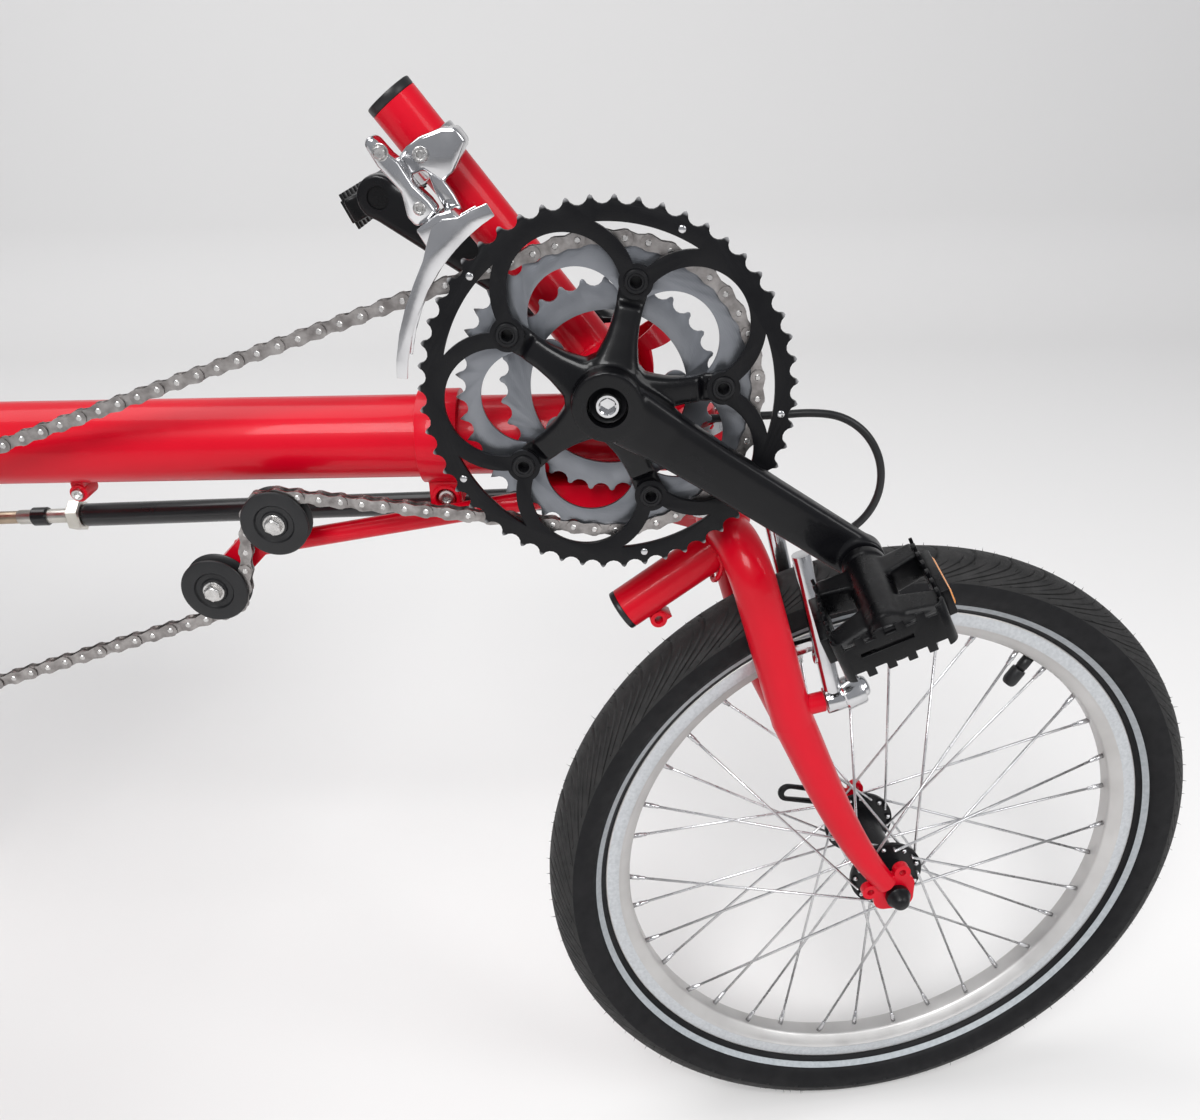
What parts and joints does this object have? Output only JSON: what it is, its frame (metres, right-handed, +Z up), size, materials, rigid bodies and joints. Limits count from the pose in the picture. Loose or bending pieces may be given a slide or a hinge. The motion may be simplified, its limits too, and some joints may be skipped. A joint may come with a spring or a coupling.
{
  "type": "recumbent bicycle",
  "caption": "Long recumbent bicycle with a small front wheel, cranks ahead of the head tube, under-seat handlebar joined by a tie rod, and a reclined padded seat.",
  "frame": {"origin": "rider's hip point at the rear of the seat base's top", "axes": "+X forward, +Y to the rider's left, +Z up"},
  "size_m": [1.8657, 0.578, 1.153],
  "materials": {
    "red_paint": "gloss",
    "black_paint": "gloss",
    "silver": "polished",
    "black_alloy": "anodised",
    "zinc": "zinc plated",
    "steel": "oiled",
    "rubber": "matt",
    "black_plastic": "matt",
    "foam": "matt",
    "seat_cloth": "woven"
  },
  "bodies": {
    "frame": {"main_tube": "red_paint", "boom": "red_paint", "post_cap": "black_plastic", "boom_clamp": "red_paint", "rear_frame": "red_paint", "headset": "silver", "bottom_bracket": "black_alloy", "chain": "steel", "idlers": "black_plastic", "idler_arm": "red_paint", "front_derailleur": "silver", "rear_derailleur": "silver", "rear_axle": "black_alloy", "steering_bracket": "red_paint", "seat_frame": "black_paint", "seat_base_pad": "seat_cloth", "seat_back_pad": "seat_cloth"},
    "fork": {"fork": "red_paint", "fork_stub_cap": "black_plastic", "front_brake": "silver", "front_axle": "black_alloy"},
    "front_wheel": {"front_tyre": "rubber", "front_rim": "silver", "front_spokes": "silver", "front_hub": "black_alloy"},
    "rear_wheel": {"rear_tyre": "rubber", "rear_rim": "silver", "rear_spokes": "silver", "rear_hub": "black_alloy", "cassette": "silver"},
    "cranks": {"outer_chainring": "black_alloy", "inner_chainrings": "silver", "right_crank": "black_alloy", "left_crank": "black_alloy", "chainring_bolts": "black_alloy", "crank_axle": "steel"},
    "right_pedal": {"right_pedal": "black_alloy"},
    "left_pedal": {"left_pedal": "black_alloy"},
    "handlebar": {"handlebar": "black_paint", "grips": "foam", "brake_levers": "black_alloy"},
    "tie_rod": {"tie_rod": "black_paint", "rod_nut": "zinc"}
  },
  "joints": [
    {"name": "steering", "type": "hinge", "parent": "frame", "child": "fork", "pos_m": [0.95382, 0, -0.44502], "axis": [-0.2588, 0, 0.9659], "range_deg": [-33.6, 16.4]},
    {"name": "bar_pivot", "type": "hinge", "parent": "frame", "child": "handlebar", "pos_m": [0.23637, 0, -0.168], "axis": [-0.2588, 0, 0.9659], "range_deg": [-33.6, 16.4]},
    {"name": "rod_pivot", "type": "hinge", "parent": "fork", "child": "tie_rod", "pos_m": [0.83942, 0.04516, -0.15244], "axis": [-0.2588, 0, 0.9659], "range_deg": [-16.4, 33.6]},
    {"name": "front_wheel_spin", "type": "hinge", "parent": "fork", "child": "front_wheel", "pos_m": [0.99632, 0.00665, -0.43363], "axis": [-0.1444, 0.9888, -0.0387], "continuous": true},
    {"name": "rear_wheel_spin", "type": "hinge", "parent": "frame", "child": "rear_wheel", "pos_m": [-0.295, 0, -0.357], "axis": [0, 1, 0], "continuous": true},
    {"name": "crank_spin", "type": "hinge", "parent": "frame", "child": "cranks", "pos_m": [0.805, 0, -0.052], "axis": [0, 1, 0], "continuous": true},
    {"name": "right_pedal_spin", "type": "hinge", "parent": "cranks", "child": "right_pedal", "pos_m": [0.94917, -0.088, -0.14209], "axis": [0, 1, 0], "continuous": true},
    {"name": "left_pedal_spin", "type": "hinge", "parent": "cranks", "child": "left_pedal", "pos_m": [0.66083, 0.088, 0.03809], "axis": [0, 1, 0], "continuous": true}
  ],
  "couplings": [
    {"joint": "bar_pivot", "follows": "steering", "ratio": 1},
    {"joint": "rod_pivot", "follows": "steering", "ratio": -1}
  ]
}
